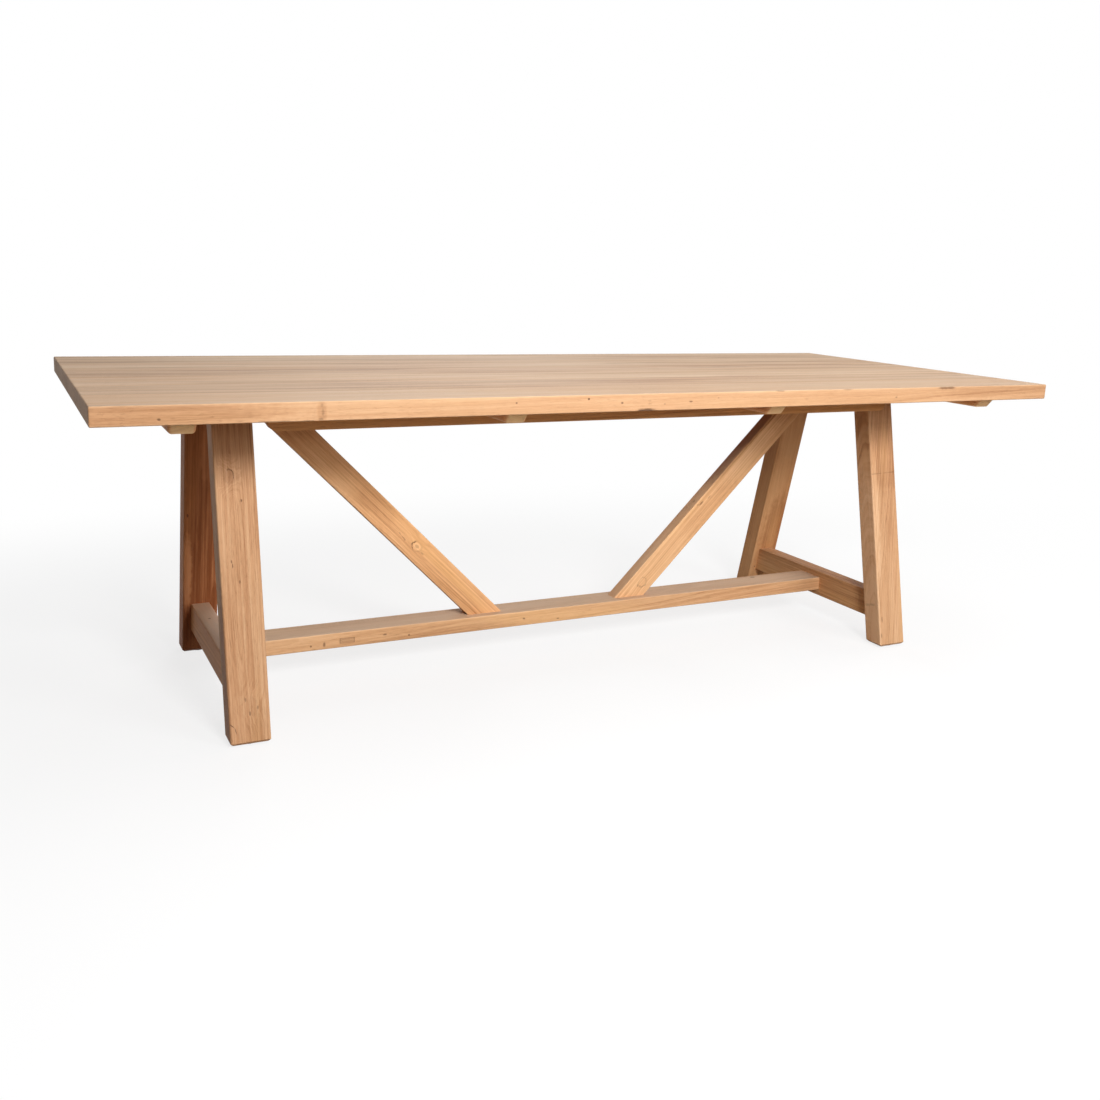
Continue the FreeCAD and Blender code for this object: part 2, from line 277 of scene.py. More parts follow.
# Rings: range of the pith line's place and lean where a look doesn't give them, size of the slow and
# quick waves, layers and strength of the bands of tone, and how uneven the years are.
pith_ranges = {
    "pith_across": (-0.05, 0.05),
    "pith_through": (0.05, 0.12),
    "lean_across": (-0.02, 0.02),
    "lean_through": (-0.04, 0.04),
}
slow_wave = 0.035
quick_wave = 0.004
band_layers = (2.0, 0.6)
uneven_layers = (1.0, 0.5)
uneven_rate = 0.37
uneven_reach = 2.2

# Tone: stops of colour, and the shares that don't differ from board to board.
tone_stops = ((0.08, teak_deep), (0.5, teak_mid), (0.92, teak_pale))
late_tone = -0.16
fibre_tone = 0.35
pore_tone = -0.10
# Least share and strength of the grey on faces that look up: greying together with a painted sheen.
least_grey_and_sheen = 0.65
grey_and_sheen_strength = 0.75
rough_swing = 0.22

# Limits between which a field or a face fades in.
late_limits = (0.55, 0.98)
pore_limits = (0.62, 0.72)
flush_limits = (0.45, 0.75)
glow_limits = (0.5, 0.72)
cloud_limits = (-0.25, 0.25)
up_limits = (0.5, 0.9)
end_limits = (0.55, 0.9)
rub_limits = (0.001, 0.006)
rub_wave = 0.006

# Marks: limits between which each fades out, as shares of its size, and how uneven its outline is.
shade_limits = (0.55, 1.1)
shade_wave = 0.5
lift_limits = (0.4, 3.4)
rim_limits = (0.03, 0.26)
heart_limits = (0.1, 0.45)
core_limits = (0.7, 1.15)
knot_wave = 0.9
break_limits = (-0.14, 0.1)
break_shares = (0.35, 1.0)
side_limits = (0.1, 0.8)
side_shares = (0.25, 1.6)
dot_limits = (0.4, 1.25)
dot_wave = 1.0
crack_core = 0.3
crack_wave = 2.5
patch_rim = 0.93
patch_rim_limits = (0.02, 0.1)
patch_limits = (0.9, 1.0)
patch_inside = 0.45

# Relief of the wood: height of each field as a share of the depth.
wood_depth = 0.0005
streak_height = 0.5
fibre_height = 0.35
pore_height = -0.5
late_height = -0.25
rim_height = -0.6
mark_height = -1.2


class Teak:
    """Material of one board: rings about a pith line, streaks, pores, marks, wear, greying with a painted
    sheen, and painted light and shade.
    """

    def __init__(self, board, look, seed):
        self.board = board
        self.look = look
        self.knots = [{**plain_knot, **knot} for knot in look["knots"]]
        self.draw = random.Random(seed)
        self.material, self.nodes = new_material("teak_" + board.node)
        nodes = self.nodes
        inputs = {"Vector": nodes.point(), "Location": board.centre, "Rotation": board.turn}
        self.place = nodes.add("ShaderNodeMapping", inputs, vector_type="TEXTURE").outputs[0]
        shift = [self.draw.uniform(-seed_reach, seed_reach) for _ in range(3)]
        self.moved = nodes.vector("ADD", self.place, shift)
        self.along, self.across, self.through = nodes.parts(self.place)
        self.bend = nodes.swing(self.moved, *bend_field)
        self.quick = nodes.swing(self.moved, *quick_field)

    def chosen(self, name, low, high):
        """A value of the look, or a random one. The draw is made either way."""
        drawn = self.draw.uniform(low, high)
        return self.look.get(name, drawn)

    def tinted(self, tone):
        """Shader colour of a tone, with each of its three parts multiplied by the board's tint."""
        return linear([min(full_tone, c * t) for c, t in zip(tone, self.look["tint"])])

    def offset(self, at):
        """The shaded point as seen from a point of the table's frame, in the board's axes."""
        return self.nodes.vector("SUBTRACT", self.place, self.board.place(at))

    def away(self, at, radii):
        """Distance from a mark's centre, 1 on its outline."""
        nodes = self.nodes
        return nodes.vector("LENGTH", nodes.vector("DIVIDE", self.offset(at), radii))

    def line_away(self, start, end):
        """Distance from a straight line between two points."""
        nodes = self.nodes
        run = self.board.place(end) - self.board.place(start)
        offset = self.offset(start)
        share = nodes.math("DIVIDE", nodes.vector("DOT_PRODUCT", offset, run), run.length_squared)
        share = nodes.add("ShaderNodeClamp", {"Value": share}).outputs[0]
        nearest = nodes.add("ShaderNodeVectorMath", {0: run, "Scale": share}, operation="SCALE")
        return nodes.vector("LENGTH", nodes.vector("SUBTRACT", offset, nearest.outputs[0]))

    def knot_away(self, knot):
        """Distance from a knot's centre, with an uneven outline."""
        radii = self.board.mark_radii(knot["at"], knot["long"], knot["wide"])
        return self.nodes.scaled_sum(self.bend, knot_wave, self.away(knot["at"], radii))

    def rings(self):
        """Distance from the pith line in rings. The line leans, and knots push the rings aside."""
        nodes = self.nodes
        gap = self.look["ring_gap"]
        pith = {name: self.chosen(name, *limits) for name, limits in pith_ranges.items()}
        side = nodes.math("SUBTRACT", self.across, pith["pith_across"])
        side = nodes.scaled_sum(self.along, -pith["lean_across"], side)
        deep = nodes.math("SUBTRACT", self.through, pith["pith_through"])
        deep = nodes.scaled_sum(self.along, -pith["lean_through"], deep)
        square = nodes.scaled_sum(side, side, nodes.math("MULTIPLY", deep, deep))
        slow = nodes.swing(self.moved, *slow_field)
        waves = ((slow, slow_wave), (self.quick, quick_wave))
        radius = nodes.weighted_sum(waves, nodes.math("SQRT", square))
        for knot in self.knots:
            lift = nodes.smooth(self.knot_away(knot), *lift_limits, knot["rings"] * gap, 0.0)
            radius = nodes.math("ADD", radius, lift)
        return nodes.math("DIVIDE", radius, gap)

    def grain(self):
        """Tone of the bare wood from 0 dark to 1 pale. It keeps the fields that the relief uses."""
        nodes, look = self.nodes, self.look
        turns = self.rings()
        bands = nodes.math("SUBTRACT", nodes.line_noise(turns, *band_layers), noise_middle)
        uneven = nodes.line_noise(nodes.math("MULTIPLY", turns, uneven_rate), *uneven_layers)
        year = nodes.math("FRACT", nodes.scaled_sum(uneven, uneven_reach, turns))
        self.late = nodes.smooth(year, *late_limits)
        self.streaks = nodes.swing(self.moved, *streak_field)
        self.fibres = nodes.swing(self.moved, *fibre_field)
        self.clouds = nodes.swing(self.moved, *cloud_field)
        self.pores = nodes.smooth(nodes.noise(self.moved, *pore_field), *pore_limits)
        terms = (
            (bands, look["ring_share"]),
            (self.late, late_tone * look["ring_share"]),
            (self.streaks, look["streak_share"]),
            (self.clouds, look["cloud_share"]),
            (self.fibres, fibre_tone),
            (self.pores, pore_tone),
        )
        return self.toned_and_lit(nodes.weighted_sum(terms, look["tone"]))

    def toned_and_lit(self, tone):
        """The tone, paler or darker within the board's shades: some are the wood's own tone, others
        painted light and painted shade.
        """
        nodes = self.nodes
        for at, long, wide, deep, change in self.look["tones_and_painted_light"]:
            away = nodes.scaled_sum(self.bend, shade_wave, self.away(at, (long, wide, deep)))
            tone = nodes.math("ADD", tone, nodes.smooth(away, *shade_limits, change, 0.0))
        return tone

    def bare_colour(self):
        """Colour of the wood before weathering and marks."""
        nodes, look = self.nodes, self.look
        stops = [(at, self.tinted(tone)) for at, tone in tone_stops]
        colour = nodes.ramp(self.grain(), stops)
        flush = nodes.noise(self.moved, *flush_field)
        flush = nodes.smooth(flush, *flush_limits, 0.0, look["red_share"])
        colour = nodes.mix(flush, colour, self.tinted(teak_red))
        glow = nodes.noise(self.moved, *glow_field)
        glow = nodes.smooth(glow, *glow_limits, 0.0, look["gold_share"])
        return nodes.mix(glow, colour, self.tinted(teak_gold))

    def weathered_with_painted_light(self, colour):
        """Greyer on faces that look up, from greying together with a painted sheen, with another tone on
        the ends (painted light on some boards), paler on rubbed edges.
        """
        nodes, look = self.nodes, self.look
        normal = nodes.add("ShaderNodeNewGeometry", {}).outputs["True Normal"]
        colour = nodes.mix(self.grey_and_sheen_mask(normal), colour, linear(teak_grey_and_sheen))
        self.end_on = nodes.math("ABSOLUTE", nodes.vector("DOT_PRODUCT", normal, self.board.axes[0]))
        ends = nodes.smooth(self.end_on, *end_limits, 0.0, look["end_share"])
        colour = nodes.mix(ends, colour, self.tinted(look["end_grain_and_painted_light_tone"]))
        return nodes.mix(self.rubbed_mask(), colour, self.tinted(teak_pale))

    def grey_and_sheen_mask(self, normal):
        """Share of grey, greying together with a painted sheen, on faces that look up and patchy as the
        clouds are.
        """
        nodes, most = self.nodes, self.look["grey_and_sheen_share"]
        facing_up = nodes.smooth(nodes.parts(normal)[2], *up_limits)
        patchy = nodes.smooth(self.clouds, *cloud_limits, least_grey_and_sheen * most, most)
        return nodes.math("MULTIPLY", nodes.math("MULTIPLY", facing_up, patchy), grey_and_sheen_strength)

    def rubbed_mask(self):
        """Share of pale wood, along the board's long edges."""
        nodes, half = self.nodes, self.board.half
        side_gap = nodes.math("SUBTRACT", half[1], nodes.math("ABSOLUTE", self.across))
        deep_gap = nodes.math("SUBTRACT", half[2], nodes.math("ABSOLUTE", self.through))
        from_edge = nodes.scaled_sum(self.quick, rub_wave, nodes.largest((side_gap, deep_gap)))
        return nodes.smooth(from_edge, *rub_limits, self.look["wear_share"], 0.0)

    def knot_masks(self):
        """Shares of knot colour and of dark outline from the board's knots."""
        nodes = self.nodes
        broken = nodes.smooth(nodes.swing(self.moved, *break_field), *break_limits, *break_shares)
        cores, rims = [], []
        for knot in self.knots:
            away = self.knot_away(knot)
            off_rim = nodes.math("ABSOLUTE", nodes.math("SUBTRACT", away, 1.0))
            line = nodes.smooth(off_rim, *rim_limits, knot["rim"], 0.0)
            if "dark_side" in knot:
                line = nodes.math("MULTIPLY", line, self.side_mask(knot))
            rims.append(nodes.math("MULTIPLY", line, broken))
            cores.append(nodes.smooth(away, *heart_limits, knot["heart"], 0.0))
            cores.append(nodes.smooth(away, *core_limits, knot["core"], 0.0))
        return nodes.largest(cores), nodes.largest(rims)

    def side_mask(self, knot):
        """Strength of a knot's outline, greatest on its dark side."""
        nodes = self.nodes
        toward = nodes.vector("NORMALIZE", self.offset(knot["at"]))
        side = nodes.vector("DOT_PRODUCT", toward, self.board.turned(knot["dark_side"]))
        return nodes.smooth(side, *side_limits, *side_shares)

    def dots(self):
        """Shares of dark colour from the board's dots."""
        nodes = self.nodes
        for at, long, wide, strength in self.look["dots"]:
            away = self.away(at, self.board.mark_radii(at, long, wide))
            away = nodes.scaled_sum(self.bend, dot_wave, away)
            yield nodes.smooth(away, *dot_limits, strength, 0.0)

    def cracks(self):
        """Shares of dark colour from the board's cracks."""
        nodes = self.nodes
        for start, end, width, strength in self.look["cracks"]:
            away = nodes.scaled_sum(self.bend, width * crack_wave, self.line_away(start, end))
            yield nodes.smooth(away, width * crack_core, width, strength, 0.0)

    def patches(self):
        """Shares of dark colour from the outlines and faces of the board's let-in patches."""
        nodes = self.nodes
        for at, long, wide, strength in self.look["patches"]:
            scaled = nodes.vector("DIVIDE", self.offset(at), self.board.mark_radii(at, long, wide))
            away = nodes.largest([nodes.math("ABSOLUTE", part) for part in nodes.parts(scaled)])
            off_rim = nodes.math("ABSOLUTE", nodes.math("SUBTRACT", away, patch_rim))
            yield nodes.smooth(off_rim, *patch_rim_limits, strength, 0.0)
            yield nodes.smooth(away, *patch_limits, strength * patch_inside, 0.0)

    def build(self):
        """The finished material."""
        nodes, look = self.nodes, self.look
        colour = self.weathered_with_painted_light(self.bare_colour())
        relief = [(self.streaks, streak_height), (self.fibres, fibre_height)]
        relief += [(self.pores, pore_height), (self.late, late_height)]
        if self.knots:
            core, rim = self.knot_masks()
            colour = nodes.mix(core, colour, linear(knot_brown))
            colour = nodes.mix(rim, colour, linear(mark_dark))
            relief.append((rim, rim_height))
        marks = [*self.dots(), *self.cracks(), *self.patches()]
        if marks:
            dark = nodes.largest(marks)
            colour = nodes.mix(dark, colour, linear(mark_dark))
            relief.append((dark, mark_height))
        height = nodes.weighted_sum(relief, 0.0)
        rough = nodes.scaled_sum(self.streaks, rough_swing, look["rough"])
        gloss = look["gloss"]
        if "end_gloss" in look:
            gloss = nodes.smooth(self.end_on, *end_limits, gloss, look["end_gloss"])
        finish_material(nodes, colour, rough, height, wood_depth, **{"Specular IOR Level": gloss})
        return self.material


# Plastic of the glides and steel of the screws, with fields of noise as in the wood.
moulded_field = ((900, 900, 900), 3.0, 0.5)
scuff_field = ((120, 120, 120), 3.0, 0.5)
scuff_limits = (0.5, 0.7)
plastic_rough = 0.5
scuff_rough = 0.2
plastic_depth = 0.0002
dull_field = ((160, 160, 160), 3.0, 0.5)
brush_field = ((2400, 2400, 200), 2.0, 0.5)
steel_rough = 0.25
dull_rough = 0.25
steel_depth = 0.0001


def plastic():
    """Moulded black plastic of the glides, scuffed grey."""
    material, nodes = new_material("glide_plastic")
    point = nodes.point()
    grain = nodes.noise(point, *moulded_field)
    scuffs = nodes.smooth(nodes.noise(point, *scuff_field), *scuff_limits)
    colour = nodes.mix(scuffs, linear(plastic_black), linear(plastic_worn))
    rough = nodes.scaled_sum(scuffs, scuff_rough, plastic_rough)
    finish_material(nodes, colour, rough, grain, plastic_depth)
    return material


def steel():
    """Plain steel of the screws, dulled in patches."""
    material, nodes = new_material("screw_steel")
    point = nodes.point()
    dull = nodes.noise(point, *dull_field)
    brush = nodes.noise(point, *brush_field)
    colour = nodes.mix(dull, linear(steel_bright), linear(steel_dull))
    rough = nodes.scaled_sum(dull, dull_rough, steel_rough)
    finish_material(nodes, colour, rough, brush, steel_depth, Metallic=1.0)
    return material


def dress(node, material):
    """Gives a node of the frame one material."""
    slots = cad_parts[node].data.materials
    slots.clear()
    slots.append(material)


# Looks of single boards, with the marks and tones seen in the photo. Places are in the table's frame.
# Knots give their place, half length and half width, and dark_side is the direction in which the
# outline is darkest. Dots and patches are (place, half length, half width, strength), cracks are
# (start, end, width, strength), and shades are (place, half length, half width, half depth, change of
# tone). Some shades are the wood's own paler and darker zones; others are painted light and painted
# shade, as marked where they stand.
board_looks = {
    "plank_1": {
        "tone": 0.56,
        "ring_share": 0.35,
        "streak_share": 0.45,
        "cloud_share": 0.5,
        "red_share": 0.2,
        "dots": (
            ((-1.126, -0.5, 0.752), 0.004, 0.0028, 0.7),
            ((-0.814, -0.5, 0.772), 0.004, 0.004, 0.22),
            ((-0.812, -0.5, 0.758), 0.003, 0.008, 0.25),
            ((-0.816, -0.5, 0.744), 0.005, 0.003, 0.3),
            ((-0.385, -0.5, 0.766), 0.003, 0.0022, 0.7),
            ((-0.207, -0.5, 0.771), 0.003, 0.0026, 0.8),
            ((-0.1205, -0.5, 0.760), 0.004, 0.002, 0.7),
            ((-0.006, -0.5, 0.755), 0.003, 0.0016, 0.35),
            # A small notch on the lower arris, its darkness a painted shadow.
            ((-0.056, -0.5, 0.741), 0.028, 0.006, 0.8),
            ((0.066, -0.5, 0.759), 0.005, 0.002, 0.55),
            ((0.143, -0.5, 0.766), 0.003, 0.0018, 0.3),
            ((0.327, -0.5, 0.7785), 0.018, 0.002, 0.35),
            ((0.538, -0.5, 0.7785), 0.018, 0.002, 0.35),
            ((0.700, -0.5, 0.756), 0.004, 0.002, 0.4),
            ((0.875, -0.5, 0.777), 0.034, 0.0035, 0.6),
        ),
        "cracks": (((-0.94, -0.5, 0.741), (-0.832, -0.5, 0.741), 0.002, 0.35),),
        "tones_and_painted_light": (
            ((-1.2, -0.5, 0.76), 0.35, 0.03, 0.04, -0.2),
            ((1.1, -0.5, 0.76), 0.27, 0.03, 0.04, -0.12),
            ((-0.814, -0.5, 0.76), 0.012, 0.02, 0.03, -0.16),
        ),
    },
    "plank_2": {
        "tone": 0.44,
        "tones_and_painted_light": (((0.6, -0.28, 0.78), 0.5, 0.05, 0.05, 0.08),),
    },
    "plank_3": {"tone": 0.55},
    "plank_4": {"tone": 0.42},
    "plank_5": {"tone": 0.54, "tint": (0.985, 0.995, 1.005)},
    "plank_6": {"tone": 0.46, "tint": (0.97, 0.99, 1.01)},
    "plank_7": {"tone": 0.52, "tint": (0.97, 0.99, 1.01)},
    "leg_left_front": {
        "tint": (0.96, 0.957, 0.953),
        "cloud_share": 0.85,
        "ring_gap": 0.0035,
        "ring_share": 0.5,
        "streak_share": 1.2,
        "pith_across": -0.010,
        "pith_through": -0.028,
        "lean_through": -0.05,
        "lean_across": 0.0,
        "knots": (
            {"at": (-0.946, -0.226, 0.581), "long": 0.016, "wide": 0.010, "rim": 0.44, "core": 0.16,
             "rings": 6.0, "dark_side": (0.6, 0, 0.4)},
            {"at": (-0.925, -0.333, 0.085), "long": 0.020, "wide": 0.011, "rim": 0.08, "core": 0.1,
             "heart": 0.25, "rings": 3.0},
        ),
        "tones_and_painted_light": (
            ((-0.946, -0.222, 0.600), 0.075, 0.015, 0.03, -0.07),
            ((-0.925, -0.333, 0.085), 0.045, 0.018, 0.03, 0.1),
            ((-0.960, -0.300, 0.240), 0.16, 0.008, 0.03, -0.12),
            ((-0.938, -0.290, 0.270), 0.10, 0.010, 0.03, 0.12),
            ((-0.905, -0.260, 0.420), 0.20, 0.006, 0.03, -0.1),
            # Darker narrow left face near the foot: painted shade.
            ((-0.977, -0.320, 0.100), 0.26, 0.005, 0.08, -0.45),
        ),
        "dots": (
            ((-0.922, -0.2376, 0.529), 0.004, 0.0018, 0.7),
            ((-0.949, -0.2675, 0.390), 0.006, 0.0015, 0.7),
            ((-0.951, -0.265, 0.400), 0.004, 0.0015, 0.6),
            ((-0.936, -0.275, 0.355), 0.004, 0.0015, 0.6),
            ((-0.939, -0.330, 0.101), 0.005, 0.002, 0.45),
            ((-0.913, -0.334, 0.0815), 0.004, 0.0015, 0.5),
            ((-0.931, -0.3365, 0.070), 0.006, 0.002, 0.5),
        ),
        "cracks": (
            ((-0.975, -0.340, 0.052), (-0.966, -0.3424, 0.044), 0.0018, 0.85),
            ((-0.966, -0.3424, 0.044), (-0.955, -0.3466, 0.004), 0.0018, 0.8),
        ),
    },
    "leg_left_rear": {
        "ring_gap": 0.014,
        "ring_share": 0.8,
        "cloud_share": 1.1,
        "streak_share": 1.25,
        "tone": 0.3,
        "tint": (0.89, 0.755, 0.667),
        "red_share": 0.6,
        "dots": (((-0.968, 0.204, 0.400), 0.005, 0.0025, 0.7),),
        "tones_and_painted_light": (
            ((-0.968, 0.240, 0.235), 0.13, 0.015, 0.03, 0.55),
            ((-0.897, 0.237, 0.247), 0.07, 0.008, 0.03, 0.22),
            ((-0.925, 0.170, 0.560), 0.10, 0.014, 0.03, 0.25),
        ),
    },
    "leg_right_front": {
        "ring_gap": 0.008,
        "ring_share": 0.7,
        "pith_across": 0.02,
        "pith_through": -0.012,
        "lean_across": 0.16,
        "lean_through": 0.0,
        "dots": (
            ((0.887, -0.300, 0.118), 0.004, 0.012, 0.25),
            ((0.887, -0.280, 0.112), 0.004, 0.012, 0.22),
            ((0.8976, -0.334, 0.081), 0.009, 0.002, 0.5),
            ((0.893, -0.344, 0.036), 0.007, 0.002, 0.5),
        ),
        "cracks": (((0.889, -0.244, 0.496), (0.977, -0.2446, 0.499), 0.0022, 0.26),),
        "tones_and_painted_light": (
            # These are painted light and painted shade: a lighter left face, a front darker under the top
            # and paler lower down.
            ((0.897, -0.27, 0.38), 0.22, 0.012, 0.03, 0.2),
            ((0.887, -0.28, 0.25), 0.35, 0.006, 0.05, 0.25),
            ((0.932, -0.235, 0.545), 0.12, 0.07, 0.05, -0.18),
            ((0.932, -0.33, 0.13), 0.22, 0.09, 0.06, 0.1),
            ((0.887, -0.315, 0.1), 0.16, 0.006, 0.05, 0.16),
        ),
    },
    "leg_right_rear": {
        "tint": (0.98, 0.94, 0.87),
        "ring_share": 0.3,
        "streak_share": 0.45,
        "tones_and_painted_light": (
            ((0.95, 0.245, 0.2), 0.16, 0.06, 0.04, -0.28),
            ((0.887, 0.301, 0.078), 0.12, 0.02, 0.04, 0.14),
            ((0.94, 0.17, 0.54), 0.1, 0.06, 0.03, 0.12),
        ),
        "dots": (((0.903, 0.273, 0.080), 0.004, 0.003, 0.6),),
    },
    "brace_left": {
        "tint": (1.085, 1.062, 1.01),
        "pith_through": 0.13,
        "pith_across": 0.02,
        "lean_across": 0.01,
        "lean_through": 0.02,
        "ring_gap": 0.006,
        "ring_share": 0.34,
        "streak_share": 1.05,
        "cloud_share": 0.8,
        "knots": (
            {"at": (-0.427, -0.02, 0.330), "long": 0.015, "wide": 0.013, "rim": 0.6, "core": 0.0,
             "heart": 0.35, "dark_side": (-1, 0, 0.4)},
        ),
        "cracks": (((-0.476, -0.02, 0.371), (-0.460, -0.02, 0.351), 0.0024, 0.35),),
        "dots": (((-0.4125, -0.02, 0.3105), 0.007, 0.002, 0.3),),
        "tones_and_painted_light": (
            ((-0.427, -0.02, 0.330), 0.013, 0.02, 0.011, 0.25),
            # Paler upper end and darker middle: painted light where the top's shadow falls.
            ((-0.66, -0.02, 0.55), 0.11, 0.03, 0.06, 0.16),
            ((-0.53, -0.02, 0.43), 0.08, 0.03, 0.06, -0.06),
        ),
    },
    "brace_right": {
        "tint": (1.075, 1.075, 1.05),
        "pith_through": 0.12,
        "pith_across": 0.0,
        "lean_across": 0.0,
        "lean_through": 0.01,
        "ring_gap": 0.007,
        "ring_share": 0.4,
        "tones_and_painted_light": (
            # Paler upper front and a darker upper narrow face: painted light, and painted shadow under
            # the top.
            ((0.63, -0.02, 0.53), 0.13, 0.02, 0.06, 0.16),
            ((0.58, 0.0, 0.529), 0.14, 0.06, 0.009, -0.34),
            ((0.68, 0.0, 0.629), 0.12, 0.06, 0.009, -0.5),
            ((0.32, -0.02, 0.23), 0.16, 0.03, 0.06, 0.09),
        ),
        "knots": (
            {"at": (0.269, -0.02, 0.166), "long": 0.016, "wide": 0.012, "rim": 0.36, "core": 0.0,
             "heart": 0.0, "rings": 0.4},
        ),
        "dots": (
            ((0.4435, -0.003, 0.393), 0.004, 0.003, 0.4),
            ((0.457, -0.02, 0.389), 0.009, 0.003, 0.55),
            ((0.446, -0.02, 0.385), 0.004, 0.003, 0.3),
            ((0.484, -0.02, 0.407), 0.008, 0.002, 0.35),
        ),
    },
    "long_stretcher": {
        "tint": (1.04, 1.043, 1.03),
        "tones_and_painted_light": (
            ((-0.76, -0.044, 0.112), 0.16, 0.02, 0.03, 0.1),
            ((0.62, 0.0, 0.128), 0.6, 0.08, 0.009, -0.1),
        ),
        "grey_and_sheen_share": 0.8,
        "rough": 0.7,
        "pith_through": 0.06,
        "lean_through": 0.06,
        "dots": (
            ((-0.715, -0.044, 0.100), 0.003, 0.003, 0.7),
            ((-0.681, -0.044, 0.101), 0.004, 0.007, 0.6),
            ((-0.520, -0.044, 0.109), 0.007, 0.003, 0.6),
            ((-0.454, -0.044, 0.100), 0.003, 0.003, 0.6),
            ((-0.121, -0.044, 0.108), 0.004, 0.003, 0.6),
            ((-0.015, -0.044, 0.097), 0.005, 0.002, 0.6),
            ((0.703, 0.028, 0.128), 0.009, 0.006, 0.5),
        ),
        "patches": (((-0.621, -0.044, 0.1055), 0.020, 0.007, 0.5),),
    },
    "end_stretcher_right": {
        "tint": (1.01, 0.985, 0.93),
        "streak_share": 1.0,
        "grey_and_sheen_share": 0.15,
        # Darker top face: painted shade.
        "tones_and_painted_light": (((0.932, 0.0, 0.146), 0.4, 0.05, 0.008, -0.2),),
    },
    "end_stretcher_left": {
        "tint": (0.97, 0.87, 0.76),
        "grey_and_sheen_share": 1.1,
        "dots": (((-0.933, 0.124, 0.146), 0.004, 0.004, 0.6),),
    },
}

# Looks that all boards of a kind share.
kind_looks = {
    "plank": {
        "gloss": 0.2,
        "rough": 0.74,
        "ring_gap": 0.014,
        "ring_share": 1.15,
        "cloud_share": 0.95,
        "streak_share": 0.9,
        "end_share": 0.6,
        # Paler, greyer end tone: end grain together with a painted sheen.
        "end_grain_and_painted_light_tone": (150, 124, 104),
        "end_gloss": 0.9,
        "gold_share": 0.1,
        "grey_and_sheen_share": 0.75,
    },
    # The battens' pale ends are painted light on their lit ends, and the strong tint makes the whole
    # batten paler.
    "batten": {"tint": (1.19, 1.14, 1.11), "end_share": 0.8, "end_grain_and_painted_light_tone": (240, 205, 165)},
    "rail": {"tint": (1.04, 0.99, 0.885)},
}


def leg_axis(side):
    """Direction up a leg, with side 1 for a front leg and -1 for a rear one."""
    return Vector((0, side * math.sin(leg_splay), math.cos(leg_splay)))


def brace_axis(side):
    """Direction up a brace, with side -1 for the left one and 1 for the right one."""
    return Vector((side * math.cos(brace_rake), 0, math.sin(brace_rake)))


def wood_boards():
    """Every wooden node with the direction of its grain and the direction across it."""
    for name in sorted(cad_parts):
        kind = name.split("_")[0]
        if name.endswith("screws"):
            continue
        if kind in ("plank", "tongue", "rail", "long"):
            yield name, X_AXIS, Y_AXIS
        elif kind in ("bearer", "batten", "end"):
            yield name, Y_AXIS, -X_AXIS
        elif kind == "leg":
            yield name, leg_axis(1 if name.endswith("front") else -1), X_AXIS
        elif kind == "brace":
            yield name, brace_axis(-1 if name.endswith("left") else 1), Y_AXIS


# Seed of the first board of each kind. The others of the kind count up from it.
first_seeds = {"batten": 41, "bearer": 45, "brace": 48, "end": 50, "leg": 52, "long": 56, "plank": 57,
               "rail": 64, "tongue": 67}


def dress_table():
    """Materials of all nodes."""
    seeds = dict(first_seeds)
    for name, along, across in wood_boards():
        kind = name.split("_")[0]
        look = {**plain_look, **kind_looks.get(kind, {}), **board_looks.get(name, {})}
        dress(name, Teak(Board(name, along, across), look, seeds[kind]).build())
        seeds[kind] += 1
    black = plastic()
    bright = steel()
    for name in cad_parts:
        if name.startswith("glide"):
            dress(name, black)
        elif name.endswith("screws"):
            dress(name, bright)


# Floor and world. The floor lies a little below the feet. It is part white near the table, so that
# the shadow shows, and all white further out, where distances along the table count for less.
floor_half = 20.0
floor_drop = 0.0002
floor_near_white = 0.78
shadow_reach = (0.9, 2.3)
shadow_stretch = (0.6, 1, 1)
ambient_level = 0.12


def seen_directly(nodes):
    """1 for rays from the camera, mirrored rays and rays through glass."""
    path = nodes.add("ShaderNodeLightPath", {})
    rays = ("Is Transmission Ray", "Is Glossy Ray", "Is Camera Ray")
    return nodes.largest([path.outputs[ray] for ray in rays])


def floor_material():
    """Matt floor that takes the shadow, with its own white added where it is seen."""
    material, nodes = new_material("floor_pale")
    away = nodes.vector("LENGTH", nodes.vector("MULTIPLY", nodes.point(), shadow_stretch))
    near_or_far = nodes.smooth(away, *shadow_reach, floor_near_white, 1.0)
    seen = seen_directly(nodes)
    tone = nodes.mix(seen, linear(floor_tone), linear(floor_seen_tone))
    matt = nodes.add("ShaderNodeBsdfDiffuse", {"Color": tone})
    glow = nodes.add("ShaderNodeEmission", {"Color": pure_white, "Strength": 1.0})
    share = nodes.math("MULTIPLY", near_or_far, seen)
    both = nodes.add("ShaderNodeMixShader", {0: share, 1: matt.outputs[0], 2: glow.outputs[0]})
    nodes.add("ShaderNodeOutputMaterial", {"Surface": both.outputs[0]})
    return material


def make_floor():
    """Pale floor that keeps the table's shadow and fades to white further out."""
    mesh = bpy.data.meshes.new("floor")
    shape = bmesh.new()
    bmesh.ops.create_grid(shape, x_segments=1, y_segments=1, size=floor_half)
    shape.to_mesh(mesh)
    shape.free()
    mesh.materials.append(floor_material())
    floor = bpy.data.objects.new("floor", mesh)
    floor.location = (0, 0, -floor_drop)
    bpy.context.scene.collection.objects.link(floor)


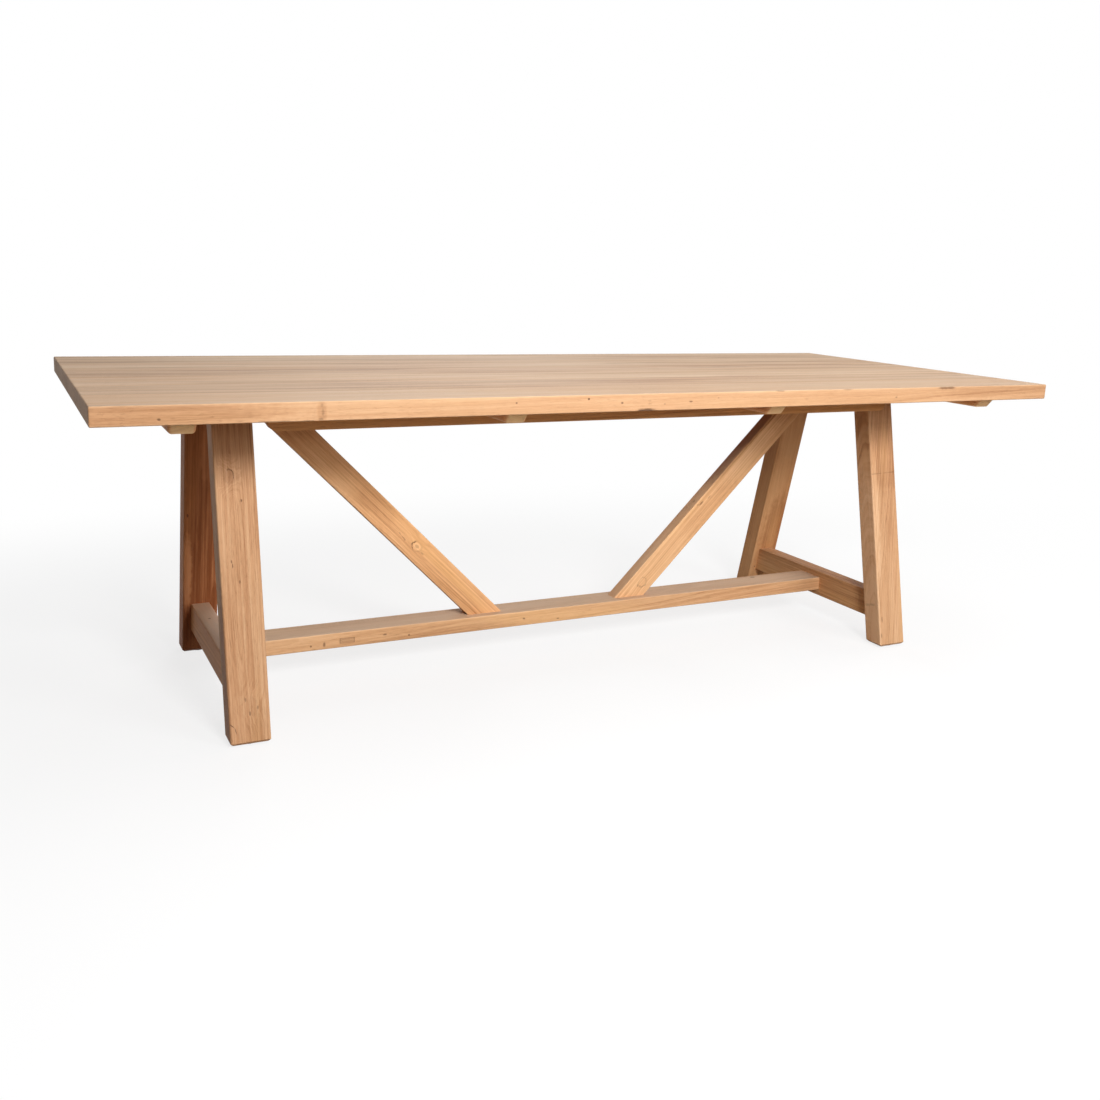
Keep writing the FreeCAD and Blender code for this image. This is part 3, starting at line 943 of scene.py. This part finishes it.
def make_world():
    """White all round where it is seen, and a plain soft light where it isn't."""
    world = bpy.data.worlds.new("studio")
    world.use_nodes = True
    nodes = Nodes(world.node_tree)
    soft = nodes.add("ShaderNodeBackground", {"Color": pure_white, "Strength": ambient_level})
    bright = nodes.add("ShaderNodeBackground", {"Color": pure_white, "Strength": 1.0})
    inputs = {0: seen_directly(nodes), 1: soft.outputs[0], 2: bright.outputs[0]}
    both = nodes.add("ShaderNodeMixShader", inputs)
    nodes.add("ShaderNodeOutputWorld", {"Surface": both.outputs[0]})
    bpy.context.scene.world = world


# Each lamp's name, place, width and power in watts. They all face the same point of the table.
lamps = (
    ("key", (-0.45, -3.5, 2.35), 0.9, 117.0),
    ("low", (-0.7, -3.5, 1.35), 0.9, 11.0),
    ("fill", (1.8, -3.4, 2.0), 1.4, 55.0),
    ("over", (0.5, -0.3, 3.6), 2.5, 33.0),
    ("rear", (1.0, 3.5, 2.2), 2.0, 44.0),
    ("side", (3.6, 0.3, 1.6), 1.6, 26.0),
)
lamp_target = Vector((0.1, 0.0, 0.5))


def make_lamps():
    """Square soft lamps."""
    for name, place, width, power in lamps:
        light = bpy.data.lights.new(name, "AREA")
        light.shape = "SQUARE"
        light.size = width
        light.energy = power
        lamp = bpy.data.objects.new(name, light)
        lamp.location = place
        lamp.rotation_euler = (lamp_target - Vector(place)).to_track_quat("-Z", "Y").to_euler()
        bpy.context.scene.collection.objects.link(lamp)


def make_camera():
    """Camera at the photo's viewing point."""
    ahead = Vector((math.sin(camera_yaw) * math.cos(camera_pitch),
                    math.cos(camera_yaw) * math.cos(camera_pitch), math.sin(camera_pitch)))
    level = Vector((math.cos(camera_yaw), -math.sin(camera_yaw), 0))
    upright = level.cross(ahead)
    right = level * math.cos(camera_roll) + upright * math.sin(camera_roll)
    up = upright * math.cos(camera_roll) - level * math.sin(camera_roll)
    turn = Matrix((right, up, -ahead)).transposed().to_4x4()
    data = bpy.data.cameras.new("camera")
    data.sensor_width = sensor_width
    data.lens = focal_pixels / picture_size * sensor_width
    data.shift_x = picture_middle - axis_pixel_x / picture_size
    data.shift_y = axis_pixel_y / picture_size - picture_middle
    camera = bpy.data.objects.new("camera", data)
    camera.matrix_world = Matrix.Translation(camera_place) @ turn
    bpy.context.scene.collection.objects.link(camera)
    bpy.context.scene.camera = camera


dress_table()
make_floor()
make_world()
make_lamps()
make_camera()
bpy.context.scene.view_settings.view_transform = "Standard"
